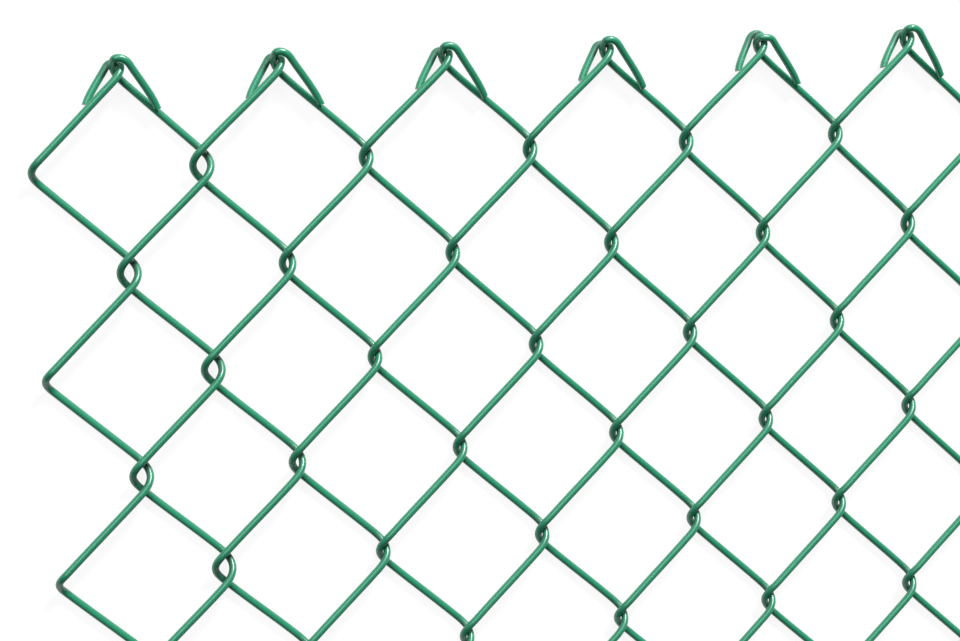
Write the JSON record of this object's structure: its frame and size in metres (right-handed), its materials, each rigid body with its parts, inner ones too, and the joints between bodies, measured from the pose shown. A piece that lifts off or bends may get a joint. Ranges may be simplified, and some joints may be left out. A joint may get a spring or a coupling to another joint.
{
  "type": "chain link fence fabric",
  "caption": "Flat cut length of plastic-coated chain link fence fabric, woven from flattened wire spirals and knuckled along both edges.",
  "frame": {"origin": "middle of the underside, on the surface that the fabric lies on", "axes": "+X along the fence, +Y up the fence's height, +Z out of its front face, where the runs rise to the right"},
  "size_m": [0.8396, 0.9136, 0.011],
  "materials": {
    "green_coat": "smooth fused green plastic coat over steel wire, a little glossy, steel core bare at the cut ends"
  },
  "bodies": {
    "root": {"wire_01": "green_coat", "wire_02": "green_coat", "wire_03": "green_coat", "wire_04": "green_coat", "wire_05": "green_coat", "wire_06": "green_coat", "wire_07": "green_coat", "wire_08": "green_coat", "wire_09": "green_coat", "wire_10": "green_coat", "wire_11": "green_coat", "wire_12": "green_coat", "wire_13": "green_coat", "wire_14": "green_coat", "wire_15": "green_coat", "wire_16": "green_coat", "wire_17": "green_coat", "wire_18": "green_coat", "wire_19": "green_coat", "wire_20": "green_coat", "wire_21": "green_coat", "wire_22": "green_coat", "wire_23": "green_coat", "wire_24": "green_coat"}
  },
  "joints": []
}
